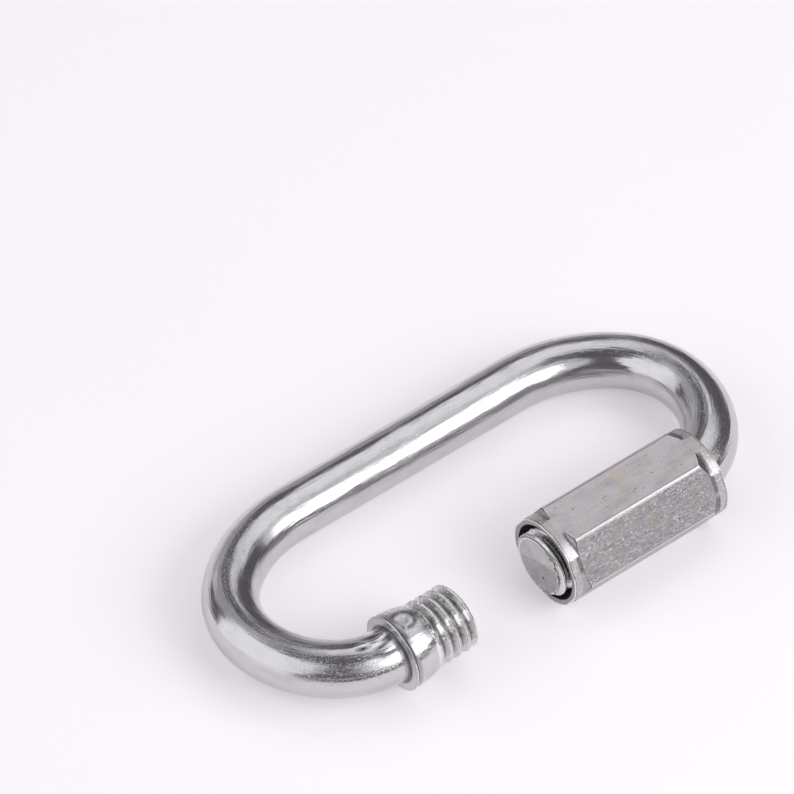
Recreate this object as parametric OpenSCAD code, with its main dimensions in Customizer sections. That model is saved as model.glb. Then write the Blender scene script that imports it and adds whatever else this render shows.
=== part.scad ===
// Quick link: a bent steel rod with threaded ends, closed by a long hexagonal sleeve nut.
// Lengths are in millimetres. The link lies on the table as it comes to rest, with +X along its long
// sides and +Z up: the closed side touches the table at +Y, a flat of the nut touches it at -Y.
// The nut is drawn open, run back on its stud, so that the mouth is clear.

/* [Rod] */
// Diameter of the rod
rod_d = 8; // [6:0.25:9]
// Distance between the centre lines of the two long sides
side_pitch = 30.2; // [26:0.2:44]
// Length of each bow, from the straight of the open side to the tip of its centre line
bow_len = 13; // [11:0.5:18]
// How much sooner the closed side starts to bend than the open side, at each end
closed_lead = 5.5; // [3:0.5:8]
// Share of the side pitch that lies on the closed side of the bow's tip
tip_share = 0.517; // [0.48:0.001:0.54]

/* [Thread] */
// Outside diameter of the thread on the stub and the stud
thread_d = 9.9; // [9.25:0.05:10.3]
// Threaded length of the stub
stub_thread = 6.5; // [4:0.1:9]
// Length of stud thread that the closed nut still holds
stud_hold = 5.55; // [3:0.05:8]
// Taper that brings the stud down to the rod
stud_taper = 1; // [0.5:0.1:2]
// Bevel at the free end of each thread
thread_bevel = 0.4; // [0.2:0.05:0.8]

/* [Mouth] */
// Clear gap between the stub and the stud
mouth_gap = 14.1; // [10:0.1:18]

/* [Stop collar] */
// Length of the collar, flange and barrel together
collar_len = 4.7; // [3.5:0.1:7]
// Diameter of the flange
flange_d = 11.4; // [11.2:0.1:12.6]
// Thickness of the flange
flange_t = 0.7; // [0.4:0.1:1.2]
// Largest diameter of the barrel
barrel_d = 11.2; // [10.7:0.1:11.4]
// Depth of the fine groove between the flange and the barrel
groove_depth = 0.2; // [0.1:0.05:0.3]
// Width of the same groove
groove_w = 0.25; // [0.1:0.05:0.5]
// Radius of the ball that left the punch mark in the barrel
punch_r = 2.5; // [1.5:0.1:4]
// Depth of the punch mark
punch_depth = 0.25; // [0.1:0.05:0.4]
// Distance of the punch mark from the flange
punch_x = 1.4; // [1:0.1:2]
// Direction of the punch mark round the collar, from the open side's outer face upward
punch_angle = 88; // [0:1:180]

/* [Nut] */
// Size across the flats
nut_af = 13; // [12.6:0.1:15]
// How much the rounding of the six long edges takes off the size across the corners
edge_cut = 0.3; // [0.1:0.05:0.6]
// How much the ring turned at each end is wider than the flats
ring_extra = 0.3; // [0.1:0.05:0.6]
// Length of that ring
ring_len = 1.85; // [1:0.05:3]
// Angle between the nut's axis and the shoulder from the ring to the hexagon, at the mouth's end
shoulder_angle = 65; // [45:1:80]
// Angle of the same shoulder at the bow's end
bow_shoulder_angle = 36; // [30:1:80]
// Bevel round the outside of the rim
rim_bevel = 0.15; // [0.05:0.05:0.3]
// Width of the rim between its bevel and the countersunk mouth
rim_w = 0.6; // [0.3:0.05:0.7]
// Angle between the nut's axis and the countersink
countersink_angle = 45; // [35:1:60]
// Gap between the thread's crests and the nut's bore, on the radius
thread_clearance = 0.05; // [0.02:0.01:0.1]
// End gap that is left between the closed nut's thread and the collar
seat_gap = 0.1; // [0.05:0.05:0.5]
// How far the stud's end stands out of the open nut
nut_setback = 1.15; // [0:0.05:3]
// How far the open nut's other end runs past the stud's thread
nut_overhang = 4.4; // [1:0.05:5]

/* [Hidden] */

$fn = 96;
hex_sides = 6;
// Directions from an arc's centre, round the bow, at which one arc of the rod gives way to the next
bow_marks = [90, 45, 0, -45, -90];
steel = [0.80, 0.80, 0.82];
nut_steel = [0.74, 0.73, 0.74];

rod_r = rod_d / 2;
thread_r = thread_d / 2;
flange_r = flange_d / 2;
barrel_r = barrel_d / 2;

// Rounds a length to a micrometre, so that lengths of rod that meet end at the same place
function neat(length) = round(length * 1000) / 1000;

// Sizes of the nut
nut_bore_r = thread_r + thread_clearance;
nut_across_corners = nut_af / cos(180 / hex_sides);
nut_edge_r = (nut_across_corners - edge_cut) / 2;
ring_r = (nut_af + ring_extra) / 2;
nut_mouth_r = ring_r - rim_bevel - rim_w;
countersink_len = (nut_mouth_r - nut_bore_r) / tan(countersink_angle);
nut_len = countersink_len - seat_gap + stub_thread + mouth_gap + stud_hold;

// Places along the open side, whose middle is at x = 0
stud_thread = nut_setback + nut_len - nut_overhang;
open_len = collar_len + stub_thread + mouth_gap + stud_thread + stud_taper;
bend_x = neat(open_len / 2);
collar_x = -bend_x;
stud_end_x = collar_x + collar_len + stub_thread + mouth_gap;
nut_x = stud_end_x + nut_setback;

// Places across the link, in its own plane, from the middle of the side pitch
closed_y = neat(side_pitch / 2);
open_y = -closed_y;
tip_y = closed_y - side_pitch * tip_share;
tip_x = bend_x + bow_len;
closed_bend_x = neat(bend_x - closed_lead);

// How the link lies: a flat of the nut and the closed side are both on the table
tilt = asin((nut_af / 2 - rod_r) / side_pitch);
plan_w = nut_edge_r + side_pitch * cos(tilt) + rod_r;
axis_y = nut_edge_r - plan_w / 2;
axis_z = nut_af / 2;

// Radii of the side arc and the tip arc that make a quarter bow of this reach, along and across the link
function quarter_radii(along, across) =
    let (side_turn = bow_marks[0] - bow_marks[1])
    let (step = (along - across) / (cos(side_turn) + sin(side_turn) - 1))
    let (side_r = neat(across + step * cos(side_turn)))
    [side_r, neat(side_r - step)];

// Radii of the four arcs round a bow, from the closed side to the open side
closed_radii = quarter_radii(tip_x - closed_bend_x, closed_y - tip_y);
open_radii = quarter_radii(tip_x - bend_x, tip_y - open_y);
bow_radii = [closed_radii[0], closed_radii[1], open_radii[1], open_radii[0]];

// Centre of each of these arcs: it lies on the line through the last arc's centre and the mark between them
function arc_centre(i) =
    i == 0 ? [closed_bend_x, closed_y - bow_radii[0], 0]
    : arc_centre(i - 1) + (bow_radii[i - 1] - bow_radii[i]) * [cos(bow_marks[i]), sin(bow_marks[i]), 0];

// Moves a child drawn in the link's plane to where the link lies
module lay_down() {
    translate([0, axis_y, axis_z]) rotate([-tilt, 0, 0]) translate([0, -open_y, 0]) children();
}

// Turns a child drawn about +Z, so that it lies along +X
module along_x() {
    rotate([0, 90, 0]) children();
}

// Moves a child by a coarse step and a fine one, which keeps the last digits of its place
module move(place) {
    coarse = [for (c = place) neat(c)];
    translate(coarse) translate(place - coarse) children();
}

// The bow at the +X end of the link, and then the end of the rod as a child drawn along +X
module bow() {
    last = len(bow_radii) - 1;
    for (i = [0:last]) move(arc_centre(i))
        rotate_extrude(start = bow_marks[i + 1], angle = bow_marks[i] - bow_marks[i + 1])
            translate([bow_radii[i], 0]) circle(r = rod_r);
    move(arc_centre(last) - [0, bow_radii[last], 0]) rotate([0, 0, 180]) children();
}

// The closed side, straight between the bows
module closed_side() {
    translate([-closed_bend_x, closed_y, 0]) along_x() cylinder(r = rod_r, h = 2 * closed_bend_x);
}

// A threaded length at its outside diameter, with its bevelled free end upward
module thread_length(length) {
    cylinder(r = thread_r, h = length - thread_bevel);
    translate([0, 0, length - thread_bevel])
        cylinder(r1 = thread_r, r2 = thread_r - thread_bevel, h = thread_bevel);
}

// The barrel: a wide arc that falls from its crown, next to the groove, to the thread and just into it
module barrel() {
    crown = flange_t + groove_w;
    run = collar_len - crown;
    fall = barrel_r - thread_r;
    arc_r = (run * run + fall * fall) / (2 * fall);
    into_thread = fall;
    translate([0, 0, crown]) rotate_extrude() intersection() {
        translate([barrel_r - arc_r, 0]) circle(r = arc_r);
        square([barrel_r, run + into_thread]);
    }
}

// The stop collar, upset from the rod: flange, groove and barrel, with one round punch mark
module collar() {
    groove_r = barrel_r - groove_depth;
    difference() {
        union() {
            cylinder(r = flange_r, h = flange_t);
            cylinder(r = groove_r, h = flange_t + groove_w);
            barrel();
        }
        rotate([0, 0, punch_angle]) translate([0, barrel_r + punch_r - punch_depth, flange_t + punch_x])
            sphere(r = punch_r);
    }
}

// The stub: the collar, and the thread that stands out of it
module stub() {
    along_x() {
        collar();
        thread_length(collar_len + stub_thread);
    }
}

// The stud that carries the nut
module stud() {
    along_x() {
        cylinder(r1 = rod_r, r2 = thread_r, h = stud_taper);
        translate([0, 0, stud_taper]) thread_length(stud_thread);
    }
}

module link_body() {
    color(steel) lay_down() {
        closed_side();
        bow() stud();
        mirror([1, 0, 0]) bow() stub();
    }
}

// One end of the nut's turned outline, as [radius, distance from that end], for its shoulder's angle
function end_outline(angle) = [
    [nut_mouth_r, 0],
    [ring_r - rim_bevel, 0],
    [ring_r, rim_bevel],
    [ring_r, ring_len],
    [nut_edge_r, ring_len + (nut_edge_r - ring_r) / tan(angle)]
];

// The nut's turned outline: rings, shoulders and the rounding of its long edges
module turned_blank() {
    near_end = end_outline(shoulder_angle);
    bow_end = end_outline(bow_shoulder_angle);
    far_end = [for (i = [len(bow_end) - 1:-1:0]) [bow_end[i][0], nut_len - bow_end[i][1]]];
    rotate_extrude() polygon(concat([[0, 0]], near_end, far_end, [[0, nut_len]]));
}

// The hexagonal bar, with one flat toward the table
module hex_bar() {
    rotate([0, 0, 180 / hex_sides]) cylinder(d = nut_across_corners, h = nut_len, $fn = hex_sides);
}

// The bore with a countersunk mouth at each end
module nut_bore() {
    over = 1;
    over_r = over * tan(countersink_angle);
    translate([0, 0, -over]) cylinder(r = nut_bore_r, h = nut_len + 2 * over);
    for (end = [0, 1]) translate([0, 0, end * nut_len]) mirror([0, 0, end]) translate([0, 0, -over])
        cylinder(r1 = nut_mouth_r + over_r, r2 = nut_bore_r, h = countersink_len + over);
}

module sleeve_nut() {
    color(nut_steel) translate([nut_x, axis_y, axis_z]) along_x() difference() {
        intersection() {
            hex_bar();
            turned_blank();
        }
        nut_bore();
    }
}

link_body();
sleeve_nut();
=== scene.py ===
"""Dresses an oval quick link: the bent rod with its threaded ends, and the open sleeve nut.

Lengths are in millimetres until a mesh is finished, when they are turned into metres in the frame
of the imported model. The link's own plane has +X along its two long sides and +Y from the open
side, where the mouth is, to the closed side.
"""

import logging
import math
from collections.abc import Callable
from dataclasses import dataclass
from enum import Enum

import bmesh
import bpy
from mathutils import Matrix, Vector, noise

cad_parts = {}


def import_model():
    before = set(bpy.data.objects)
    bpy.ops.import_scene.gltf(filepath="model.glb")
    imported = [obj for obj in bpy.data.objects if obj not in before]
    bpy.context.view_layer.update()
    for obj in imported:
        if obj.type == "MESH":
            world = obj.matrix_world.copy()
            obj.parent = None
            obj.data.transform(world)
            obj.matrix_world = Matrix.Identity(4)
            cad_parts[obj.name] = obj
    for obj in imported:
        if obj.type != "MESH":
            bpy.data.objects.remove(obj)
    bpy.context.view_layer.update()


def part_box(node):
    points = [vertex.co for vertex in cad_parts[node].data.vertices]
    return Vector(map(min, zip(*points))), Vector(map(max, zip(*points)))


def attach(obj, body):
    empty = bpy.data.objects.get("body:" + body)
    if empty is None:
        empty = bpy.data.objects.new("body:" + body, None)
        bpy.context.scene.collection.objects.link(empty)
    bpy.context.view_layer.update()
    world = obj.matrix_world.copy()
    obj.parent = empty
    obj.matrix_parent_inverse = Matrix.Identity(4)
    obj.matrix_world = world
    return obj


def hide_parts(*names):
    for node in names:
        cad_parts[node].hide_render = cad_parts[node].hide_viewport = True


log = logging.getLogger("quick_link")

MM = 0.001
MICRON = 0.000001
FULL_TURN = 2 * math.pi
HEX_SIDES = 6
SHARP = math.radians(38)
STITCH_GAP = 0.05
GRAIN = "grain"
WEAR = "wear"

Node = bpy.types.Node
Socket = bpy.types.NodeSocket
Colour = tuple[float, float, float, float]
Rows = tuple[tuple[float, ...], ...]
RadiusAt = Callable[[float, float, float], float]


class RodFinish(Enum):
    """Material slots of the rod."""

    POLISHED = 0
    THREADED = 1


class NutFinish(Enum):
    """Material slots of the nut."""

    SATIN = 0
    BORE = 1


Finish = RodFinish | NutFinish


@dataclass(frozen=True)
class Wear:
    """How the metal is worn at one place, with painted shade and highlights among it, from 0 where it is
    clean to 1 or, in few places, more.

    Attributes:
        dirt_and_shade: Share of darkening: dirty metal, and painted shade in hollows, grooves, corners and
            creases.
        rough: How much the surface is roughened.
        bare_and_highlight: How bright it is made: rubbed metal, and painted highlights along edges, rims,
            lips and crests.
    """

    dirt_and_shade: float = 0.0
    rough: float = 0.0
    bare_and_highlight: float = 0.0


CLEAN = Wear()
# The soiled wear paints shade into grooves and corners, and the rubbed wear paints a highlight along rims.
PAINTED_SHADE = Wear(0.9, 0.6, 0.0)
DULL = Wear(0.3, 0.5, 0.0)
RUBBED_HIGHLIGHT = Wear(0.0, 0.1, 1.0)
FROSTED = Wear(0.0, 1.5, 0.6)


def blend(low: float, high: float, share: float) -> float:
    """Returns the value that lies this share of the way from low to high."""
    return low + (high - low) * share


def smooth_step(low: float, high: float, value: float) -> float:
    """Eases from 0 where the value is at low, or before it, to 1 where it is at high or past it."""
    share = min(1.0, max(0.0, (value - low) / (high - low)))
    return share * share * (3 - 2 * share)


def even_angles(count: int) -> list[float]:
    """Returns this many angles, evenly spread round a turn from 0."""
    return [FULL_TURN * i / count for i in range(count)]


def direction(azimuth: float, elevation: float) -> Vector:
    """Returns the direction at two angles in degrees: round from -Y toward +X, and up."""
    a, e = math.radians(azimuth), math.radians(elevation)
    return Vector((math.sin(a) * math.cos(e), -math.cos(a) * math.cos(e), math.sin(e)))


def add_object(name: str, data: bpy.types.ID) -> bpy.types.Object:
    """Puts a mesh, a lamp or a camera into the scene."""
    obj = bpy.data.objects.new(name, data)
    bpy.context.scene.collection.objects.link(obj)
    return obj


@dataclass(frozen=True)
class Spot:
    """One corner of a skin, with its angle round the axis that the skin goes round."""

    angle: float
    vert: bmesh.types.BMVert


Loop = list[Spot]


@dataclass(frozen=True)
class Station:
    """A place on the rod's centre line.

    Attributes:
        centre: Point of the centre line, in the link's plane.
        inward: Direction in the plane toward the inside of the oval.
        along: Distance along the rod, for the direction of its grain.
    """

    centre: Vector
    inward: Vector
    along: float

    def at(self, angle: float, radius: float) -> Vector:
        """Returns the point of the rod's skin at this angle, from inward to upward."""
        up = Vector((0, 0, 1))
        return self.centre + radius * (math.cos(angle) * self.inward + math.sin(angle) * up)


def on_axis(x: float, y: float) -> Station:
    """Returns the station of a straight length that runs along +X."""
    return Station(Vector((x, y, 0)), Vector((0, 1, 0)), x)


class Skin:
    """A closed mesh that grows loop by loop round an axis."""

    def __init__(self) -> None:
        """Starts an empty skin with layers for its grain and its wear, which carries painted shade and
        highlights too.
        """
        self.bm = bmesh.new()
        self.grain = self.bm.verts.layers.float_vector.new(GRAIN)
        self.wear = self.bm.verts.layers.float_vector.new(WEAR)

    def spot(self, station: Station, angle: float, radius: float, wear: Wear) -> Spot:
        """Adds one corner, with its place in the metal's grain and its wear.

        Args:
            station: Place on the centre line.
            angle: Angle round it, from the inward side upward.
            radius: Distance from it.
            wear: Wear there.

        Returns:
            The new corner.
        """
        vert = self.bm.verts.new(station.at(angle, radius))
        vert[self.grain] = (station.along, radius * math.cos(angle), radius * math.sin(angle))
        vert[self.wear] = (wear.dirt_and_shade, wear.rough, wear.bare_and_highlight)
        return Spot(angle, vert)

    def ring(self, station: Station, angles: list[float], radius: float, wear: Wear) -> Loop:
        """Adds a round loop of corners at one station, at angles that rise from 0."""
        return [self.spot(station, angle, radius, wear) for angle in angles]

    def face(self, corners: list[bmesh.types.BMVert], finish: Finish) -> None:
        """Adds one face."""
        self.bm.faces.new(corners).material_index = finish.value

    def bridge(self, first: Loop, second: Loop, finish: Finish) -> None:
        """Joins two loops with equal numbers of corners by quads."""
        for i, spot in enumerate(first):
            after = (i + 1) % len(first)
            self.face([spot.vert, first[after].vert, second[after].vert, second[i].vert], finish)

    def stitch(self, first: Loop, second: Loop, finish: Finish) -> None:
        """Joins two loops whose corners lie at different angles, always at the nearer next angle.

        Args:
            first: One loop, by rising angle.
            second: The other loop, by rising angle.
            finish: Finish of the new faces.
        """
        first, second = ([*loop, Spot(loop[0].angle + FULL_TURN, loop[0].vert)] for loop in (first, second))
        i = j = 0
        while i + 1 < len(first) or j + 1 < len(second):
            ahead = first[i + 1].angle if i + 1 < len(first) else math.inf
            across = second[j + 1].angle if j + 1 < len(second) else math.inf
            if ahead <= across:
                self.face([first[i].vert, first[i + 1].vert, second[j].vert], finish)
                i += 1
            else:
                self.face([first[i].vert, second[j + 1].vert, second[j].vert], finish)
                j += 1

    def chain(self, loops: list[Loop], finish: Finish) -> None:
        """Joins each loop of a list to the next one."""
        for first, second in zip(loops, loops[1:]):
            join = self.bridge if len(first) == len(second) else self.stitch
            join(first, second, finish)

    def close(self, loop: Loop, station: Station, wear: Wear, finish: Finish) -> None:
        """Closes a loop by a fan of triangles round one new corner on the centre line."""
        hub = self.spot(station, 0.0, 0.0, wear).vert
        for i, spot in enumerate(loop):
            self.face([spot.vert, loop[(i + 1) % len(loop)].vert, hub], finish)

    def piece(self, name: str, place: Matrix) -> bpy.types.Object:
        """Finishes the mesh and puts it into the scene.

        Args:
            name: Name of the piece.
            place: Matrix from the skin's millimetres to the frame's metres.

        Returns:
            The new object.
        """
        bmesh.ops.recalc_face_normals(self.bm, faces=self.bm.faces)
        for face in self.bm.faces:
            face.smooth = True
        for edge in self.bm.edges:
            edge.smooth = edge.calc_face_angle(math.pi) < SHARP
        self.bm.transform(place)
        mesh = bpy.data.meshes.new(name)
        self.bm.to_mesh(mesh)
        self.bm.free()
        return add_object(name, mesh)


@dataclass(frozen=True)
class Thread:
    """A right-hand thread whose turns lie on one helix with all others in the link.

    Attributes:
        form: Points of half a turn's profile, from the outer side's middle to the inner side's, as
            the share of the pitch from there and the radius.
        crest: Radius that is made bright, as rubbed metal and a painted highlight.
        root: Radius that is made dark, as dirty metal and, in part, painted shade.
        soil_and_shade: Share of that darkening there.
        root_edge: Shares of the depth where that darkening starts and where it is full.
        bare_edge: Shares of the depth where the crest's brightness ends and where it is full.
        seam_edge: The same for the darkened seam, in part painted shade, in turns from the form's start.
        pitch: Distance between turns.
        phase: Place along X of the form's start at angle 0.
        facets: Number of steps in one turn.
    """

    form: Rows
    crest: float
    root: float
    soil_and_shade: float = 0.9
    root_edge: tuple[float, float] = (0.82, 1.0)
    bare_edge: tuple[float, float] = (0.15, 0.04)
    seam_edge: tuple[float, float] = (0.045, 0.015)
    pitch: float = 1.5
    phase: float = 0.3
    facets: int = 96

    def wear(self, x: float, angle: float, radius: float) -> Wear:
        """Returns the wear at a place: bright at the crest's lips and dark in its seam and at the root, in
        part painted highlight and shade.
        """
        sunk = (self.crest - radius) / (self.crest - self.root)
        turns = (x - self.phase) / self.pitch - angle / FULL_TURN
        seam = smooth_step(*self.seam_edge, abs(turns - round(turns)))
        # Root and seam are darkened and the crest's lips brightened, in part as painted shade and a painted
        # highlight.
        dirt_and_shade = max(self.soil_and_shade * smooth_step(*self.root_edge, sunk), 0.6 * seam)
        return Wear(dirt_and_shade, 0.3, smooth_step(*self.bare_edge, sunk) * (1 - seam))

    def cut(self, skin: Skin, y: float, low: float, high: float, radius_at: RadiusAt,
            finish: Finish) -> tuple[Loop, Loop]:
        """Adds the threaded skin between two planes square to X.

        Args:
            skin: Skin that takes the thread.
            y: Place of the axis across the link.
            low: Place of the lower plane.
            high: Place of the higher plane.
            radius_at: Gives the radius at a place along X, an angle and the profile's own radius.
            finish: Finish of the new faces.

        Returns:
            The loops in the lower and the higher plane.
        """
        rising = [(1 - share, radius) for share, radius in reversed(self.form[1:-1])]
        marks = [*self.form, *rising]
        start = self.phase + (math.floor((low - self.phase) / self.pitch) - 1) * self.pitch
        steps = math.ceil((high - start) / self.pitch * self.facets) + self.facets // 8
        part = bmesh.new()
        made: dict[tuple[int, int], bmesh.types.BMVert] = {}

        def corner(step: int, mark: int) -> bmesh.types.BMVert:
            if mark == len(marks):
                step, mark = step + self.facets, 0
            if (step, mark) not in made:
                share, radius = marks[mark]
                x = start + self.pitch * (step / self.facets + share)
                angle = FULL_TURN * (step % self.facets) / self.facets
                made[step, mark] = part.verts.new(on_axis(x, y).at(angle, radius_at(x, angle, radius)))
            return made[step, mark]

        for step in range(steps):
            for mark in range(len(marks)):
                part.faces.new((corner(step, mark), corner(step + 1, mark),
                                corner(step + 1, mark + 1), corner(step, mark + 1)))
        for plane, keep in ((low, 1), (high, -1)):
            everything = part.verts[:] + part.edges[:] + part.faces[:]
            bmesh.ops.bisect_plane(part, geom=everything, dist=1e-4, plane_co=(plane, 0, 0),
                                   plane_no=(-keep, 0, 0), clear_outer=True)
        spots: dict[bmesh.types.BMVert, Spot] = {}
        for vert in part.verts:
            across, up = vert.co.y - y, vert.co.z
            radius, angle = math.hypot(across, up), math.atan2(up, across) % FULL_TURN
            spots[vert] = skin.spot(on_axis(vert.co.x, y), angle, radius, self.wear(vert.co.x, angle, radius))
        for face in part.faces:
            skin.face([spots[v].vert for v in face.verts], finish)
        rim = {v for edge in part.edges if edge.is_boundary for v in edge.verts}
        middle = (low + high) / 2
        loops = ([spots[v] for v in rim if v.co.x < middle], [spots[v] for v in rim if v.co.x > middle])
        for loop in loops:
            loop.sort(key=lambda spot: spot.angle)
        part.free()
        return loops


@dataclass
class LinkBody:
    """The bent rod: stub with its stop collar, two bows, closed side and stud.

    Attributes are sizes in millimetres in the link's plane. These hold more:
        tip_share: Place of the bow's tip, as a share of the width from the closed side.
        closed_lead: How much longer than bow_len the bow is on the closed side.
        bow_marks: Angles in degrees where the bow's arcs begin and end.
        thread_form: Share of the pitch from the crest's middle, and depth. Two lips flank a seam.
        collar_back: Distance from the collar's back face, radius and wear, from the barrel on.
        lip_side: Angle at which an end's beaded lip is the most uneven, and its painted glints and the
            painted shade between them the strongest.
        lip_rows: Depth under the end's face, radius, share of unevenness and wear, which paints the lip
            bright as a highlight and dark at both its feet as painted shade.
        shears: Height in the middle of the end's face, slopes along and across, and painted shade that sets
            the facets apart. The lowest of these planes counts.
        scuffs: Place and reach along the rod, angle and spread in degrees round it, and strength.
        crease_run, crease_spread: Where the creases beside the collar end and where they are full,
            by the place along the rod and by the degrees from crease_side.
    """

    rod_r: float = 4.0
    side_pitch: float = 30.2
    tip_share: float = 0.517
    bow_len: float = 13.0
    closed_lead: float = 5.5
    bow_marks: tuple[int, ...] = (90, 45, 0, -45, -90)
    bow_step: float = 3.0
    bend_x: float = 25.0
    thread_r: float = 4.95
    thread_form: Rows = (
        (0.0, 0.10), (0.025, 0.08), (0.05, 0.01), (0.068, 0.0), (0.095, 0.025), (0.13, 0.12), (0.20, 0.35),
        (0.29, 0.62), (0.37, 0.82), (0.43, 0.89), (0.5, 0.90))
    uneven: float = 0.035
    nick_depth: float = 0.12
    bevel: float = 0.4
    stud_end: float = 0.3
    stud_taper: float = 1.0
    stub_end: float = -13.8
    stub_runout: float = 0.5
    collar_len: float = 4.7
    flange_t: float = 0.7
    groove_w: float = 0.25
    barrel_r: float = 5.6
    punch_r: float = 3.6
    punch_depth: float = 0.25
    punch_x: float = 1.4
    punch_pale_r: float = 1.28
    punch_angle: float = math.radians(92)
    # The rows darken into the groove and at the corner by the rod as painted shade, and the flange's rim is
    # brightened as a painted highlight.
    collar_back: tuple[tuple[float, float, Wear], ...] = (
        (0.95, 5.595, DULL), (0.65, 5.585, DULL), (0.48, 5.555, DULL), (0.42, 5.51, PAINTED_SHADE),
        (0.35, 5.47, PAINTED_SHADE), (0.30, 5.50, PAINTED_SHADE), (0.26, 5.60, DULL), (0.23, 5.66, RUBBED_HIGHLIGHT),
        (0.15, 5.70, RUBBED_HIGHLIGHT), (0.07, 5.68, RUBBED_HIGHLIGHT), (0.02, 5.62, DULL), (0.0, 5.55, CLEAN),
        (0.0, 5.44, CLEAN), (0.0, 5.35, FROSTED), (0.0, 4.6, FROSTED), (0.0, 4.25, PAINTED_SHADE))
    lip: float = 0.18
    lip_side: float = math.radians(195)
    lip_rows: tuple[tuple[float, float, float, Wear], ...] = (
        (0.17, 4.20, 0.0, Wear(1.0, 0.4, 0.0)), (0.14, 4.34, 0.5, Wear(0.4, 0.4, 0.8)),
        (0.10, 4.41, 0.8, Wear(0.0, 0.0, 1.0)), (0.06, 4.41, 1.0, Wear(0.0, 0.0, 1.0)),
        (0.04, 4.34, 1.0, Wear(0.0, 0.2, 1.0)), (0.04, 4.26, 1.0, Wear(0.1, 0.2, 1.0)),
        (0.05, 4.18, 0.9, Wear(0.1, 0.2, 0.9)), (0.06, 4.09, 0.7, Wear(0.3, 0.2, 0.6)),
        (0.05, 3.98, 0.2, Wear(0.6, 0.4, 0.0)))
    face_r: float = 3.92
    face_sunk: float = 0.04
    shears: Rows = ((0.0, 0.02, 0.0, 0.20), (-0.06, 0.03, 0.06, 0.50), (0.05, -0.02, -0.05, 0.28))
    pit: tuple[float, float, float] = (-0.55, -2.05, 0.0)
    pit_r: float = 0.2
    pit_depth: float = 0.22
    scuffs: Rows = (
        (-61, 9, 135, 42, 0.8), (-33, 10, 88, 30, 0.6), (-52, 8, 100, 25, 0.4), (0, 26, 62, 14, 0.3),
        (0, 24, 30, 12, 0.3), (42, 20, 75, 26, 0.4), (63, 8, 110, 40, 0.4))
    crease_depth: float = 0.24
    crease_run: tuple[float, float] = (-60.5, -66.5)
    crease_side: float = 76.0
    crease_spread: tuple[float, float] = (66.0, 38.0)
    rod_facets: int = 96
    stub_facets: int = 128
    collar_facets: int = 192
    barrel_rows: int = 44
    face_rows: int = 16

    @property
    def open_y(self) -> float:
        """Place of the open side across the link."""
        return -self.side_pitch / 2

    @property
    def crown(self) -> float:
        """Distance of the barrel's crown from the collar's back face."""
        return self.flange_t + self.groove_w

    def bow_radii(self) -> list[float]:
        """Returns the radii of a bow's four arcs, from the closed side to the open side."""
        tip_y = self.side_pitch / 2 - self.side_pitch * self.tip_share
        turn = math.radians(self.bow_marks[0] - self.bow_marks[1])
        radii = []
        for along, across in ((self.bow_len + self.closed_lead, self.side_pitch / 2 - tip_y),
                              (self.bow_len, tip_y - self.open_y)):
            step = (along - across) / (math.cos(turn) + math.sin(turn) - 1)
            side = across + step * math.cos(turn)
            radii.append((side, side - step))
        closed_side, open_side = radii
        return [*closed_side, *reversed(open_side)]

    def bow(self) -> list[Station]:
        """Returns the stations of the bow at +X, from the closed side to the open side."""
        radii = self.bow_radii()
        centre = Vector((self.bend_x - self.closed_lead, self.side_pitch / 2 - radii[0], 0))
        stations = []
        along = centre.x
        for i, radius in enumerate(radii):
            if i:
                mark = math.radians(self.bow_marks[i])
                centre = centre + (radii[i - 1] - radius) * Vector((math.cos(mark), math.sin(mark), 0))
            count = round((self.bow_marks[i] - self.bow_marks[i + 1]) / self.bow_step)
            for k in range(count + (i == len(radii) - 1)):
                mark = math.radians(self.bow_marks[i] - k * self.bow_step)
                outward = Vector((math.cos(mark), math.sin(mark), 0))
                stations.append(Station(centre + radius * outward, -outward, along))
                along += radius * math.radians(self.bow_step)
        return stations

    def centre_line(self) -> list[Station]:
        """Returns the stations of the bent rod, from the collar round to the stud."""
        bow = self.bow()
        flip = Vector((-1, 1, 1))
        mirrored = [Station(s.centre * flip, s.inward * flip, -s.along) for s in reversed(bow)]
        last, first = mirrored[-1], bow[0]
        spans = 12
        straight = []
        for k in range(1, spans):
            centre = last.centre.lerp(first.centre, k / spans)
            straight.append(Station(centre, first.inward, centre.x))
        return mirrored + straight + bow

    def bent(self, station: Station, angle: float) -> tuple[float, Wear]:
        """Returns the rod's radius and wear, rough in the scuffs and creased beside the collar.

        Args:
            station: Place along the rod.
            angle: Angle round it.

        Returns:
            The radius and the wear.
        """
        degrees = math.degrees(angle)
        rough = depth = 0.0
        for along, reach, middle, spread, strength in self.scuffs:
            off = math.hypot((station.along - along) / reach, (degrees - middle) / spread)
            rough = max(rough, strength * smooth_step(1.0, 0.6, off))
        near = smooth_step(*self.crease_run, station.along)
        near *= smooth_step(*self.crease_spread, abs(degrees - self.crease_side))
        if near:
            here = Vector((0.30 * station.along, math.cos(angle) * self.rod_r, math.sin(angle) * self.rod_r))
            depth = self.crease_depth * near * noise.noise(here * 1.5)
        # Where a crease sinks it is darkened as painted shade, and where it rises it is brightened as a
        # painted highlight.
        wear = Wear(smooth_step(0.02, 0.06, depth), rough, smooth_step(-0.01, -0.04, depth))
        return self.rod_r - depth, wear

    def barrel(self, x: float) -> float:
        """Returns the barrel's radius at a place along X."""
        run = self.collar_len - self.crown
        fall = self.barrel_r - self.thread_r
        arc_r = (run * run + fall * fall) / (2 * fall)
        past = min(max(x + self.bend_x - self.crown, 0.0), arc_r)
        return self.barrel_r - arc_r + math.sqrt(arc_r * arc_r - past * past)

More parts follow.
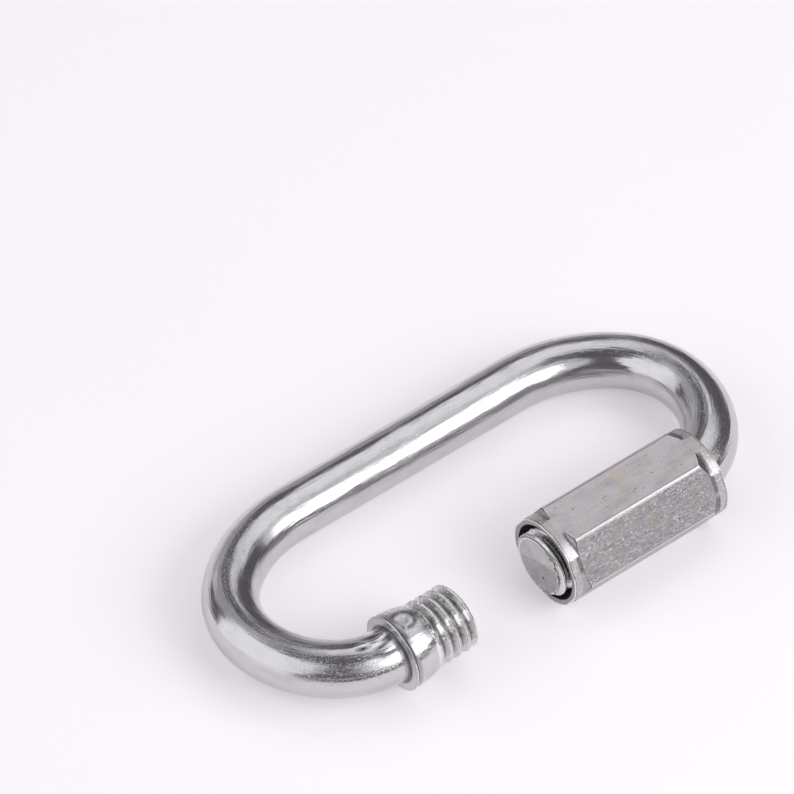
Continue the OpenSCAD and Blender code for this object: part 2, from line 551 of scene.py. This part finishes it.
    def punched(self, x: float, angle: float) -> tuple[float, Wear]:
        """Returns the barrel's radius and wear, with the punch mark sunk into it.

        The mark is pale and specked, and a darker ring goes round it.

        Args:
            x: Place along X.
            angle: Angle round the axis.

        Returns:
            The radius and the wear.
        """
        radius = self.barrel(x)
        here = Vector((x, math.cos(angle) * radius, math.sin(angle) * radius))
        off = x + self.bend_x - self.flange_t - self.punch_x
        turn = angle - self.punch_angle
        away = math.hypot(off, radius * turn) - self.punch_pale_r
        pale = smooth_step(0.16, -0.16, away + 0.10 * noise.noise(here * 1.9))
        speck = pale * smooth_step(0.0, 0.3, noise.noise(here * 3.4))
        soil_and_shade = 0.8 * (1 - pale) * smooth_step(0.9, 0.2, away)
        soil_and_shade *= smooth_step(-0.60, -0.10, noise.noise(here * 1.8))
        edge = max(0.0, 1 - (x + self.bend_x - self.crown) / 0.5)
        rough = blend(0.3 + 0.4 * edge + 0.5 * soil_and_shade, 2.8, pale)
        wear = Wear(soil_and_shade + 0.18 * speck, rough, max(0.15 * (1 - soil_and_shade), pale - 0.5 * speck))
        ball = self.barrel_r + self.punch_r - self.punch_depth
        inside = self.punch_r ** 2 - off ** 2 - (ball * math.sin(turn)) ** 2
        if inside > 0 and math.cos(turn) >= 0:
            floor = ball * math.cos(turn) - math.sqrt(inside) + 0.012 * noise.noise(here * 4.5)
            radius = min(radius, floor)
        return radius, wear

    def worn(self, x: float, angle: float) -> float:
        """Returns the small unevenness of a thread at a place, with a few deep nicks."""
        here = Vector((x, math.cos(angle) * self.thread_r, math.sin(angle) * self.thread_r))
        nick = max(0.0, noise.noise(here * 1.4) - 0.30) * 0.5
        return self.uneven * noise.noise(here * 2.2) - min(nick, self.nick_depth)

    def thread(self, facets: int) -> Thread:
        """Returns the rolled thread with this number of steps in a turn."""
        form = tuple((share, self.thread_r - depth) for share, depth in self.thread_form)
        return Thread(form, crest=self.thread_r, root=form[-1][1], facets=facets)

    def stub(self, skin: Skin) -> Loop:
        """Adds the stub and its collar.

        Args:
            skin: Skin of the link.

        Returns:
            The loop at the flange's back face, which the rod joins.
        """
        back = -self.bend_x
        start = back + self.collar_len
        low = start - self.stub_runout

        def radius_at(x: float, angle: float, radius: float) -> float:
            end = self.thread_r - self.bevel + (self.stub_end - x)
            runout = min(self.barrel(x), self.thread_r + start - x)
            return max(min(radius, end) + self.worn(x, angle), runout)

        collar_end, free_end = self.thread(self.stub_facets).cut(
            skin, self.open_y, low, self.stub_end - self.lip, radius_at, RodFinish.THREADED)
        self.end_face(skin, free_end, self.stub_end, 1.0)
        angles = even_angles(self.collar_facets)
        loops = []
        for k in range(self.barrel_rows + 1):
            x = blend(low - STITCH_GAP, back + self.crown + 0.10, k / self.barrel_rows)
            station = on_axis(x, self.open_y)
            loops.append([skin.spot(station, angle, *self.punched(x, angle)) for angle in angles])
        skin.stitch(collar_end, loops[0], RodFinish.POLISHED)
        for off, radius, wear in self.collar_back:
            loops.append(skin.ring(on_axis(back + off, self.open_y), angles, radius, wear))
        skin.chain(loops, RodFinish.POLISHED)
        return loops[-1]

    def stud(self, skin: Skin) -> Loop:
        """Adds the stud.

        Args:
            skin: Skin of the link.

        Returns:
            The loop where the stud's taper meets the rod.
        """
        high = self.bend_x - STITCH_GAP

        def radius_at(x: float, angle: float, radius: float) -> float:
            end = self.thread_r - self.bevel + (x - self.stud_end)
            taper = self.rod_r + (self.bend_x - x) * (self.thread_r - self.rod_r) / self.stud_taper
            uneven = self.worn(x, angle) * smooth_step(high, high - 1, x)
            return min(min(radius, end) + uneven, taper)

        free_end, root = self.thread(self.rod_facets).cut(
            skin, self.open_y, self.stud_end + self.lip, high, radius_at, RodFinish.THREADED)
        self.end_face(skin, free_end, self.stud_end, -1.0)
        return root

    def end_face(self, skin: Skin, rim: Loop, x: float, outward: float) -> None:
        """Closes a threaded end by a beaded lip and the sheared face inside it.

        Args:
            skin: Skin of the link.
            rim: Loop at the thread's cut, behind the lip.
            x: Place of the face.
            outward: 1 where the face looks toward +X, -1 where it looks toward -X.
        """
        angles = even_angles(self.collar_facets)
        loops = []
        for sunk, radius, bead, wear in self.lip_rows:
            loop = []
            for angle in angles:
                here = Vector((math.cos(angle), math.sin(angle), 0.3)) * radius
                # The beads are painted bright as glints with painted shade between them, most of all toward
                # lip_side.
                lively = bead * blend(0.25, 1.0, smooth_step(-0.3, 0.5, math.cos(angle - self.lip_side)))
                jag = lively * (0.30 * noise.noise(here * 3.1) + 0.06 * noise.noise(here * 0.8))
                bead_shade = lively * smooth_step(0.05, -0.02, jag)
                tone = Wear(max(wear.dirt_and_shade, 0.9 * bead_shade), wear.rough, wear.bare_and_highlight * (1 - bead_shade))
                station = on_axis(x - outward * (sunk - min(0.8 * jag, sunk)), self.open_y)
                loop.append(skin.spot(station, angle, radius + min(0.3 * jag, 0.02), tone))
            loops.append(loop)
        for k in range(self.face_rows):
            radius = self.face_r * (1 - k / self.face_rows)
            loop = []
            for angle in angles[::2] if k > self.face_rows / 2 else angles:
                height, wear = self.sheared(Vector((radius * math.cos(angle), radius * math.sin(angle), 0)))
                height *= smooth_step(self.face_r, self.face_r - 0.5, radius)
                station = on_axis(x + outward * (height - self.face_sunk), self.open_y)
                loop.append(skin.spot(station, angle, radius, wear))
            loops.append(loop)
        skin.stitch(rim, loops[0], RodFinish.THREADED)
        skin.chain(loops, RodFinish.THREADED)
        height, wear = self.sheared(Vector((0, 0, 0)))
        hub = on_axis(x + outward * (height - self.face_sunk), self.open_y)
        skin.close(loops[-1], hub, wear, RodFinish.THREADED)

    def sheared(self, flat: Vector) -> tuple[float, Wear]:
        """Returns the height and the wear of the sheared face at a place on it.

        Args:
            flat: Place on the face, from its middle.

        Returns:
            The height, below 0 where the face is sunk, and the wear.
        """
        # Each facet is darkened by its own share, painted shade that sets the facets apart; the pit is
        # darkened as well.
        height, dirt_and_shade = min((across * flat.y + along * flat.x + middle, dirt_and_shade)
                           for middle, along, across, dirt_and_shade in self.shears)
        pit = math.exp(-((flat - Vector(self.pit)).length / self.pit_r) ** 2)
        height = height - self.pit_depth * pit + 0.015 * noise.noise(flat * 1.7)
        return height, Wear(min(1.0, dirt_and_shade + pit), 0.8, 0.0)

    def build(self, place: Matrix) -> bpy.types.Object:
        """Builds the whole rod as one closed mesh.

        Args:
            place: Matrix from the link's plane to the frame.

        Returns:
            The rod's object.
        """
        skin = Skin()
        angles = even_angles(self.rod_facets)
        # The rod's first ring, where it meets the collar's back face, is darkened as painted shade.
        loops = [skin.ring(on_axis(-self.bend_x, self.open_y), angles, self.rod_r, Wear(0.5, 0.3, 0.0))]
        for station in self.centre_line()[1:]:
            loops.append([skin.spot(station, angle, *self.bent(station, angle)) for angle in angles])
        skin.stitch(self.stub(skin), loops[0], RodFinish.POLISHED)
        skin.chain(loops, RodFinish.POLISHED)
        skin.stitch(loops[-1], self.stud(skin), RodFinish.POLISHED)
        return skin.piece("link_rod", place)


@dataclass
class SleeveNut:
    """The long hexagonal nut, turned round at both ends and threaded through.

    Attributes are sizes in millimetres, with the nut's axis on X. These hold more:
        edge_line: Angle from an edge of the hexagon within which it is rubbed bright and painted as a
            highlight.
        flat_wear: Wear of the six flats, by rising angle: the upper front flat is painted paler as a sheen,
            the lower ones darker.
        thread_form: Share of the pitch from the outer side's middle, and depth inward of major_r.
        plain_len: Distance from the bow's end up to which the bore has no thread.
    """

    length: float
    flat_r: float
    edge_r: float
    ring_r: float = 6.65
    ring_len: float = 1.85
    shoulder_angle: float = math.radians(65)
    bow_shoulder_angle: float = math.radians(36)
    rim_w: float = 0.75
    edge_line: float = 0.020
    # The upper front flat is painted a little paler, a painted sheen, and the lower front and the bottom
    # flats are a little darker.
    flat_wear: tuple[Wear, ...] = (
        Wear(0.0, 0.3), Wear(0.0, 0.12), Wear(0.0, 0.6, 0.15), Wear(0.1, 0.5), Wear(0.1, 0.3), Wear(0.0, 0.5))
    major_r: float = 5.03
    thread_form: Rows = (
        (0.0, 0.0), (0.09, 0.0), (0.165, 0.01), (0.22, 0.17), (0.31, 0.48), (0.37, 0.56), (0.42, 0.58),
        (0.5, 0.58))
    plain_r: float = 5.0
    plain_len: float = 3.3

    @property
    def mouth_r(self) -> float:
        """Radius of the countersunk mouth at the rim."""
        return self.ring_r - self.rim_w

    @property
    def inner(self) -> float:
        """Distance from an end at which the countersink gives way to the thread."""
        return self.mouth_r - self.major_r + 0.05

    def reach(self, off: float) -> float:
        """Returns the hexagon's radius at an angle from the middle of a flat, rounded at its edges."""
        flat = self.flat_r / math.cos(off)
        ease = 0.012
        gap = (flat - self.edge_r) / ease
        return self.edge_r - ease * math.log(1 + math.exp(-gap)) if gap > -30 else flat

    def columns(self) -> list[tuple[float, float]]:
        """Returns each column of corners as its angle and its angle from the middle of a flat."""
        ring_edge = math.acos(self.flat_r / self.ring_r)
        band_edge = math.acos(self.flat_r / self.edge_r)
        corner = math.pi / HEX_SIDES
        offs = [ring_edge * k / 4 for k in range(4)]
        offs += [blend(ring_edge, band_edge, k / 8) for k in range(8)]
        bend_w = 0.010
        offs += [blend(band_edge - bend_w, band_edge + bend_w, k / 4) for k in range(5)]
        offs += [blend(band_edge + 1.4 * bend_w, corner, k / 4) for k in range(5)]
        offs = sorted(set(offs))
        around = [-off for off in reversed(offs[1:-1])] + offs
        found = []
        for side in range(HEX_SIDES):
            middle = (2 * side + 1) * corner
            found += [((middle + off) % FULL_TURN, abs(off)) for off in around]
        return sorted(found)

    def flank_wear(self, angle: float, off: float) -> Wear:
        """Returns the wear between the two ends: specked flats, and edges rubbed bright and painted as a
        highlight between borders of painted shade.

        Args:
            angle: Angle round the nut.
            off: The same angle from the middle of the nearest flat.

        Returns:
            The wear.
        """
        flat = self.flat_wear[int(angle / FULL_TURN * HEX_SIDES) % HEX_SIDES]
        away = math.pi / HEX_SIDES - off
        past = away - self.edge_line
        # The edge line is made bright, rubbed metal and a painted highlight, and its border darkened as
        # painted shade.
        line = smooth_step(self.edge_line, self.edge_line - 0.008, away)
        border_shade = smooth_step(0.0, 0.006, past) * smooth_step(0.020, 0.012, past)
        return Wear(max(0.55 * border_shade, flat.dirt_and_shade * (1 - line)), flat.rough * (1 - line), max(line, flat.bare_and_highlight))

    def end_profile(self, angle: float, off: float, near: bool) -> list[tuple[float, float, Wear]]:
        """Returns one end's outline in a column, from inside the mouth to the flat.

        Args:
            angle: Angle of the column round the nut.
            off: Its angle from the middle of the nearest flat.
            near: Whether the end is the mouth's one.

        Returns:
            Points as the distance from the end, the radius and the wear.
        """
        reach = self.reach(off)
        ring = min(self.ring_r, reach)
        rise = reach - ring
        step = min(1.0, rise / 0.2)
        slope = self.shoulder_angle if near else self.bow_shoulder_angle
        foot = self.ring_len
        top = foot + max(rise / math.tan(slope), 0.04)
        # The countersunk mouth is darkened almost to black as painted shade.
        hollow_shade = Wear(1.6, 0.6, 0.0)
        turned = Wear(0.0, 2.0 if rise > 0 else 1.2, 0.25)
        # The shoulder is darkened, most at the far end, and its corner with the flat darker still, as painted
        # shade; just past it the flat is painted bright as a highlight.
        grey = Wear((0.15 if near else 0.6) * step, 0.6 * step, 0.0)
        soil_and_shade = Wear(0.9 * step, 0.5 * step, 0.0)
        flank = self.flank_wear(angle, off)
        lit = Wear(flank.dirt_and_shade, flank.rough, max(flank.bare_and_highlight, 0.6 * step))
        # At the rim, the outer corner is painted bright as a highlight and the ring just past it dark as
        # painted shade.
        corners = [
            (self.inner, self.mouth_r - self.inner, 0.0, hollow_shade),
            (0.15, self.mouth_r - 0.15, 0.0, hollow_shade),
            (0.0, self.mouth_r, 0.07, Wear(0.5, 0.2, 0.7)),
            (0.0, self.mouth_r + 0.18, 0.0, DULL),
            (0.0, ring - 0.16, 0.0, DULL),
            (0.0, ring, 0.12, RUBBED_HIGHLIGHT),
            (0.20, ring, 0.0, Wear(0.75, 0.3, 0.0)),
            (0.32, ring, 0.0, turned),
            (foot - 0.6, ring, 0.0, turned),
            (foot, ring, 0.45, grey),
            (blend(foot, top, 0.82), blend(ring, reach, 0.82), 0.0, grey),
            (top, reach, 0.05, soil_and_shade),
            (top + 0.12, reach, 0.0, lit),
            (top + 0.26, reach, 0.0, flank),
            (foot + 3, reach, 0.0, flank)]
        return self.rounded(corners)

    @staticmethod
    def rounded(corners: list[tuple[float, float, float, Wear]]) -> list[tuple[float, float, Wear]]:
        """Rounds the corners of an outline.

        Args:
            corners: Place, radius, size of the rounding and wear of each, and one corner more.

        Returns:
            Points as the place, the radius and the wear.
        """
        points = []
        for k, (x, radius, size, wear) in enumerate(corners[:-1]):
            if not size:
                points.append((x, radius, wear))
                continue
            at = Vector((x, radius))
            sides = [Vector(corners[i][:2]) - at for i in (k - 1, k + 1)]
            first, last = (at + side * min(size / max(side.length, 1e-6), 0.75) for side in sides)
            for share in (0, 1 / 3, 2 / 3, 1):
                point = first * (1 - share) ** 2 + at * 2 * share * (1 - share) + last * share ** 2
                points.append((*point, wear))
        return points

    def thread(self) -> Thread:
        """Returns the thread of the bore, which clears the stud's thread all round."""
        form = tuple((share, self.major_r - depth) for share, depth in self.thread_form)
        return Thread(form, crest=form[-1][1], root=self.major_r)

    def build(self, place: Matrix, left: float) -> bpy.types.Object:
        """Builds the nut as one closed mesh.

        Args:
            place: Matrix from the nut's own axis, at the link's own places along X, to the frame.
            left: Place of the nut's left end along X.

        Returns:
            The nut's object.
        """
        skin = Skin()
        columns = self.columns()
        right = left + self.length
        spans = 6
        low, high = left + self.ring_len + 2, right - self.ring_len - 2
        places = [blend(low, high, k / spans) for k in range(1, spans)]
        outlines = []
        for angle, off in columns:
            near = [(left + x, *rest) for x, *rest in self.end_profile(angle, off, True)]
            flank = [(x, self.reach(off), self.flank_wear(angle, off)) for x in places]
            far = [(right - x, *rest) for x, *rest in self.end_profile(angle, off, False)]
            outlines.append(near + flank + far[::-1])
        loops = [[skin.spot(on_axis(x, 0), angle, radius, wear)
                  for (angle, _), (x, radius, wear) in zip(columns, points)] for points in zip(*outlines)]
        skin.chain(loops, NutFinish.SATIN)

        def radius_at(x: float, angle: float, radius: float) -> float:
            depth = min(x - left, right - x)
            plain = self.plain_r * smooth_step(right - self.plain_len - 0.6, right - self.plain_len, x)
            return max(radius, self.mouth_r - depth, plain)

        cuts = (left + self.inner + 0.02, right - self.inner - 0.02)
        ends = self.thread().cut(skin, 0, *cuts, radius_at, NutFinish.BORE)
        for end, loop in zip(ends, (loops[0], loops[-1])):
            skin.stitch(end, loop, NutFinish.BORE)
        return skin.piece("sleeve_nut_turned", place)


class Shader:
    """A small helper that adds and joins the nodes of a material or of the world.

    Attributes:
        MIX_FROM, MIX_TO, MIXED: Places of a mix node's two colours among its inputs and of the result
            among its outputs, which share their names with those for numbers.
    """

    MIX_FROM = 6
    MIX_TO = 7
    MIXED = 2

    def __init__(self, owner: bpy.types.Material | bpy.types.World) -> None:
        """Empties the nodes of a new material or world."""
        owner.use_nodes = True
        self.tree = owner.node_tree
        self.tree.nodes.clear()

    def feed(self, socket: Socket, value: Socket | Colour | float) -> None:
        """Joins a socket to the one that it takes its value from, or gives it a constant."""
        if isinstance(value, Socket):
            self.tree.links.new(value, socket)
        else:
            socket.default_value = value

    def add(self, kind: str, *inputs: object, **values: object) -> Node:
        """Adds a node.

        Args:
            kind: Blender's name of the node, without ShaderNode.
            *inputs: Its first inputs, each a socket or a constant.
            **values: Properties of the node, or inputs of it by their names with _ for a space.

        Returns:
            The node.
        """
        node = self.tree.nodes.new("ShaderNode" + kind)
        for socket, value in zip(node.inputs, inputs):
            self.feed(socket, value)
        for name, value in values.items():
            if hasattr(node, name):
                setattr(node, name, value)
            else:
                self.feed(node.inputs[name.replace("_", " ")], value)
        return node

    def math(self, operation: str, first: Socket | float, second: Socket | float) -> Socket:
        """Returns the result of one of Blender's operations on two values."""
        return self.add("Math", first, second, operation=operation).outputs[0]

    def times(self, first: Socket, second: Socket | float) -> Socket:
        """Returns the product of two values."""
        return self.math("MULTIPLY", first, second)

    def total(self, value: Socket, *parts: tuple[Socket, float]) -> Socket:
        """Returns a value plus others, each of them times its factor."""
        for part, factor in parts:
            value = self.math("ADD", value, self.times(part, factor))
        return value

    def grain(self, along: float = 1.0) -> Socket:
        """Returns the place on the metal in millimetres, its share along the metal times a factor."""
        place = self.add("Attribute", attribute_name=GRAIN).outputs["Vector"]
        return self.add("Mapping", place, Scale=(along, 1.0, 1.0)).outputs["Vector"]

    def wear(self) -> tuple[Socket, Socket, Socket]:
        """Returns how dark, how rough and how bright the metal is, with painted shade and highlights in the
        dark and the bright.
        """
        worn = self.add("Attribute", attribute_name=WEAR).outputs["Vector"]
        return tuple(self.add("SeparateXYZ", worn).outputs)

    def noise(self, place: Socket, scale: float, detail: float = 2.0) -> Socket:
        """Returns a noise from 0 to 1 at a place."""
        return self.add("TexNoise", Vector=place, Scale=scale, Detail=detail).outputs["Fac"]

    def ramp(self, value: Socket, low: float, high: float, dark: float = 0.0, light: float = 1.0) -> Socket:
        """Spreads a value between the marks low and high over the range from dark to light."""
        return self.add("MapRange", clamp=True, Value=value, From_Min=low, From_Max=high, To_Min=dark,
                        To_Max=light).outputs["Result"]

    def dents(self, place: Socket, scale: float, often: Socket) -> Socket:
        """Returns a value that is 1 in a dent's middle and 0 outside, for this share of the cells."""
        cells = self.add("TexVoronoi", Vector=place, Scale=scale)
        draw = self.add("SeparateColor", cells.outputs["Color"]).outputs
        near = self.math("DIVIDE", cells.outputs["Distance"], self.ramp(draw[1], 0.0, 1.0, 0.16, 0.40))
        return self.times(self.ramp(near, 0.35, 1.0, 1.0, 0.0), self.math("LESS_THAN", draw[0], often))

    def mix(self, share: Socket, first: Colour | Socket, second: Colour | Socket) -> Socket:
        """Mixes two colours, where the share is the second one's."""
        node = self.add("Mix", share, data_type="RGBA")
        self.feed(node.inputs[self.MIX_FROM], first)
        self.feed(node.inputs[self.MIX_TO], second)
        return node.outputs[self.MIXED]


@dataclass(frozen=True)
class Steel:
    """An uncoated steel finish, with heights in micrometres.

    Attributes:
        name: Name of the material.
        light, dark, tint: Colours of clean metal, of stained metal and of faint tinted patches.
        bare_and_highlight, soil_and_shade: Colours of rubbed metal and painted highlights, and of dirty metal
            and painted shade.
        gloss: Roughness at its lowest and highest.
        lines: Height of the lines along the metal.
        specks: Height of the fine specks in their patches.
        speck_run: Their size across the metal as a share of that along it.
        speck_gloss: How much rougher the metal is on them.
        speck_floor: Share of the specks outside the patches.
        dents: Depth of the dents.
        dent_scale: Number of dents' cells in a millimetre.
        dent_share: Share of the cells with a dent on roughened metal. Smooth metal has a tenth of it.
        wave: Height of the slow waves beside each other along the metal.
    """

    name: str
    light: Colour
    dark: Colour
    tint: Colour
    bare_and_highlight: Colour
    soil_and_shade: Colour
    gloss: tuple[float, float]
    lines: float
    specks: float
    dents: float
    dent_share: float
    speck_run: float = 0.7
    speck_gloss: float = 0.1
    speck_floor: float = 0.0
    dent_scale: float = 2.2
    wave: float = 60.0

    def material(self) -> bpy.types.Material:
        """Returns the finish as a material."""
        material = bpy.data.materials.new(self.name)
        sh = Shader(material)
        drawn, even = sh.grain(0.10), sh.grain()
        dirt_and_shade, rough, bare_and_highlight = sh.wear()
        lines = sh.noise(drawn, scale=4.5, detail=4.0)
        fine = sh.noise(sh.grain(self.speck_run), scale=6.0)
        patch = sh.ramp(sh.noise(even, scale=0.55), 0.50, 0.62, self.speck_floor, 0.3)
        patch = sh.math("ADD", patch, rough)
        specks = sh.times(sh.ramp(fine, 0.57, 0.66), patch)
        blots = sh.times(sh.ramp(fine, 0.45, 0.36), patch)
        often = sh.times(sh.math("ADD", rough, 0.1), self.dent_share)
        dent = sh.dents(even, self.dent_scale, often)
        waves = sh.noise(drawn, scale=1.3, detail=1.0)
        height = sh.total(sh.times(lines, self.lines), (specks, self.specks), (waves, self.wave),
                          (dent, -self.dents))
        normal = sh.add("Bump", Height=height, Strength=1.0, Distance=MICRON).outputs["Normal"]

        stain = sh.ramp(sh.noise(sh.grain(0.5), scale=0.5, detail=3.0), 0.45, 0.70)
        gloss = sh.ramp(sh.total(lines, (stain, 0.3)), 0.35, 0.95, *self.gloss)
        gloss = sh.total(gloss, (rough, 0.10), (specks, self.speck_gloss), (dirt_and_shade, 0.25))

        tinted = sh.ramp(sh.noise(even, scale=0.30), 0.50, 0.68)
        glint = sh.math("MINIMUM", sh.math("MAXIMUM", bare_and_highlight, sh.times(specks, 0.8)), 1.0)
        grime_and_shade = sh.times(dirt_and_shade, sh.ramp(sh.noise(even, scale=2.2, detail=3.0), 0.30, 0.62, 0.65, 1.0))
        # The last two mixes paint rubbed metal, specks and highlights bright, and dirty metal and painted
        # shade dark.
        colour = self.light
        for share, over in ((sh.times(stain, 0.5), self.dark), (tinted, self.tint),
                            (sh.times(dent, 0.35), self.dark), (sh.times(blots, 0.6), self.dark),
                            (glint, self.bare_and_highlight), (grime_and_shade, self.soil_and_shade)):
            colour = sh.mix(share, colour, over)
        metal = sh.add("BsdfPrincipled", Metallic=1.0, Base_Color=colour, Roughness=gloss, Normal=normal)
        sh.add("OutputMaterial", metal.outputs[0])
        return material


POLISHED_ROD = Steel(
    "polished_rod", light=(0.66, 0.65, 0.67, 1), dark=(0.52, 0.51, 0.53, 1), tint=(0.64, 0.63, 0.645, 1),
    bare_and_highlight=(0.88, 0.87, 0.89, 1), soil_and_shade=(0.06, 0.06, 0.06, 1), gloss=(0.12, 0.25), lines=22.0, specks=8.0,
    speck_gloss=0.16, dents=16.0, dent_scale=2.4, dent_share=0.18)
ROLLED_THREAD = Steel(
    "rolled_thread", light=(0.80, 0.79, 0.80, 1), dark=(0.52, 0.51, 0.51, 1), tint=(0.70, 0.695, 0.67, 1),
    bare_and_highlight=(0.94, 0.93, 0.94, 1), soil_and_shade=(0.09, 0.088, 0.087, 1), gloss=(0.12, 0.22), lines=14.0, specks=14.0,
    speck_gloss=0.2, speck_floor=0.3, dents=18.0, dent_share=0.75)
SATIN_FLATS = Steel(
    "satin_flats", light=(0.51, 0.485, 0.505, 1), dark=(0.36, 0.34, 0.355, 1), tint=(0.52, 0.48, 0.435, 1),
    bare_and_highlight=(0.86, 0.84, 0.86, 1), soil_and_shade=(0.02, 0.02, 0.02, 1), gloss=(0.20, 0.28), lines=4.0, specks=9.0,
    speck_run=0.5, dents=20.0, dent_share=0.45, wave=18.0)
# The bore's finish is made nearly black, painted shade inside the nut.
SHADED_BORE = Steel(
    "nut_bore", light=(0.075, 0.07, 0.07, 1), dark=(0.04, 0.04, 0.04, 1), tint=(0.07, 0.065, 0.06, 1),
    bare_and_highlight=(0.16, 0.155, 0.155, 1), soil_and_shade=(0.015, 0.015, 0.015, 1), gloss=(0.30, 0.45), lines=6.0, specks=10.0,
    speck_run=1.0, speck_floor=0.5, dents=10.0, dent_scale=2.0, dent_share=0.2, wave=10.0)


@dataclass(frozen=True)
class Softbox:
    """A soft lamp that the metal shows as a bright field.

    Its direction from the object is in degrees, round from -Y toward +X and up from the floor, its
    size and distance are in metres, and a level of 1 makes its face white.
    """

    name: str
    azimuth: float
    elevation: float
    width: float
    height: float
    level: float
    distance: float = 0.7

    def build(self) -> None:
        """Adds the lamp, turned toward the object."""
        lamp = bpy.data.lights.new(self.name, "AREA")
        lamp.shape = "RECTANGLE"
        lamp.size, lamp.size_y = self.width, self.height
        lamp.energy = self.level * math.pi * self.width * self.height
        obj = add_object(self.name, lamp)
        out = direction(self.azimuth, self.elevation)
        obj.location = out * self.distance
        obj.rotation_euler = out.to_track_quat("Z", "Y").to_euler()


@dataclass
class Studio:
    """The pale floor, the soft light and the camera.

    Attributes are in metres and degrees. A camera at azimuth 0 looks along +Y, and its focal length
    is in pixels of the square image. These need more words:
        floor_shades: Colours that the floor is mottled with.
        floor_glow: Light that the floor adds of its own where the camera sees it.
        mirrored_glow: The same where the metal mirrors it.
        far_colour: Colour of the room where the camera sees past the floor.
    """

    camera_azimuth: float = -37.963
    camera_elevation: float = 48.06
    camera_distance: float = 1.0
    camera_target: tuple[float, float, float] = (0.007787, 0.027582, 0.0)
    image_size: int = 794
    focal_px: float = 7115.3
    floor_side: float = 6.0
    floor_shades: tuple[Colour, Colour] = ((0.94, 0.91, 0.945, 1), (0.955, 0.925, 0.96, 1))
    glow_colour: Colour = (0.97, 0.93, 0.975, 1)
    floor_glow: float = 0.275
    mirrored_glow: float = 0.20
    room_colour: Colour = (0.120, 0.112, 0.124, 1)
    far_colour: Colour = (0.93, 0.90, 0.935, 1)
    boxes: tuple[Softbox, ...] = (
        Softbox("key_box", 28, 34, 0.58, 0.40, 2.6),
        Softbox("halo_box", 26, 42, 1.05, 0.66, 0.62),
        Softbox("back_box", 118, 59, 0.55, 0.52, 0.89),
        Softbox("far_card", 165, 12, 0.70, 0.28, 0.30),
        Softbox("rear_card", -170, 38, 0.30, 0.70, 0.30),
        Softbox("left_box", -108, 31, 1.00, 0.86, 0.95),
    )

    def camera(self) -> None:
        """Adds the camera at the photograph's viewing angle."""
        data = bpy.data.cameras.new("camera")
        data.sensor_width = 36.0
        data.lens = self.focal_px / self.image_size * data.sensor_width
        data.clip_start, data.clip_end = 0.01, 20.0
        camera = add_object("camera", data)
        back = direction(self.camera_azimuth, self.camera_elevation)
        camera.location = Vector(self.camera_target) + back * self.camera_distance
        camera.rotation_euler = (-back).to_track_quat("-Z", "Y").to_euler()
        bpy.context.scene.camera = camera

    def floor(self) -> None:
        """Adds the floor, which looks pale to the camera and in the metal but keeps shadows."""
        half = self.floor_side / 2
        mesh = bpy.data.meshes.new("floor")
        corners = [(-half, -half, 0), (half, -half, 0), (half, half, 0), (-half, half, 0)]
        mesh.from_pydata(corners, [], [(0, 1, 2, 3)])
        floor = add_object("floor", mesh)
        material = bpy.data.materials.new("pale_floor")
        sh = Shader(material)
        rays = sh.add("LightPath").outputs
        mirrored = sh.math("MAXIMUM", rays["Is Glossy Ray"], rays["Is Transmission Ray"])
        seen = sh.total(sh.times(rays["Is Camera Ray"], self.floor_glow), (mirrored, self.mirrored_glow))
        mottle = sh.ramp(sh.noise(sh.add("TexCoord").outputs["Object"], scale=9.0), 0.3, 0.7)
        matt = sh.add("BsdfDiffuse", sh.mix(mottle, *self.floor_shades))
        glow = sh.add("Emission", self.glow_colour, seen)
        both = sh.add("AddShader", matt.outputs[0], glow.outputs[0])
        sh.add("OutputMaterial", both.outputs[0])
        mesh.materials.append(material)

    def world(self) -> None:
        """Sets a grey room that looks pale where the camera sees past the floor."""
        world = bpy.data.worlds.new("room")
        bpy.context.scene.world = world
        sh = Shader(world)
        seen = sh.add("LightPath").outputs["Is Camera Ray"]
        shades = [sh.add("Background", colour).outputs[0] for colour in (self.room_colour, self.far_colour)]
        sh.add("OutputWorld", sh.add("MixShader", seen, *shades).outputs[0])

    def build(self) -> None:
        """Builds floor, room, lamps and camera, and sets the plain view."""
        self.floor()
        self.world()
        for box in self.boxes:
            box.build()
        self.camera()
        bpy.context.scene.view_settings.view_transform = "Standard"


def dress(obj: bpy.types.Object, finishes: tuple[Steel, ...], body: str, node: str) -> None:
    """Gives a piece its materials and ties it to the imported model.

    Args:
        obj: The piece.
        finishes: Its finishes, in the order of its material slots.
        body: Body that it rides on.
        node: Node that it stands for.
    """
    for finish in finishes:
        obj.data.materials.append(finish.material())
    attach(obj, body)
    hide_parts(node)
    corners, faces = len(obj.data.vertices), len(obj.data.polygons)
    log.info("%s: %d corners, %d faces, on %s", obj.name, corners, faces, body)


def main() -> None:
    """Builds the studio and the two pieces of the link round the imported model."""
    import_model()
    nut_low, nut_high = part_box("sleeve_nut")
    Studio().build()

    link = LinkBody()
    flat = (nut_high.z - nut_low.z) / MM
    axis = Vector((0, (nut_low.y + nut_high.y) / 2, (nut_low.z + nut_high.z) / 2))
    tilt = math.asin((flat / 2 - link.rod_r) / link.side_pitch)
    to_axis = Matrix.Translation(axis) @ Matrix.Scale(MM, 4)
    lie = to_axis @ Matrix.Rotation(-tilt, 4, "X") @ Matrix.Translation((0, -link.open_y, 0))
    rod = link.build(lie)
    dress(rod, (POLISHED_ROD, ROLLED_THREAD), "link_body", "link_body")

    nut = SleeveNut(length=(nut_high.x - nut_low.x) / MM, flat_r=flat / 2,
                    edge_r=(nut_high.y - nut_low.y) / 2 / MM)
    sleeve = nut.build(to_axis, nut_low.x / MM)
    dress(sleeve, (SATIN_FLATS, SHADED_BORE), "nut", "sleeve_nut")


if __name__ == "__main__":
    logging.basicConfig(level=logging.INFO, format="%(name)s: %(message)s")
    main()
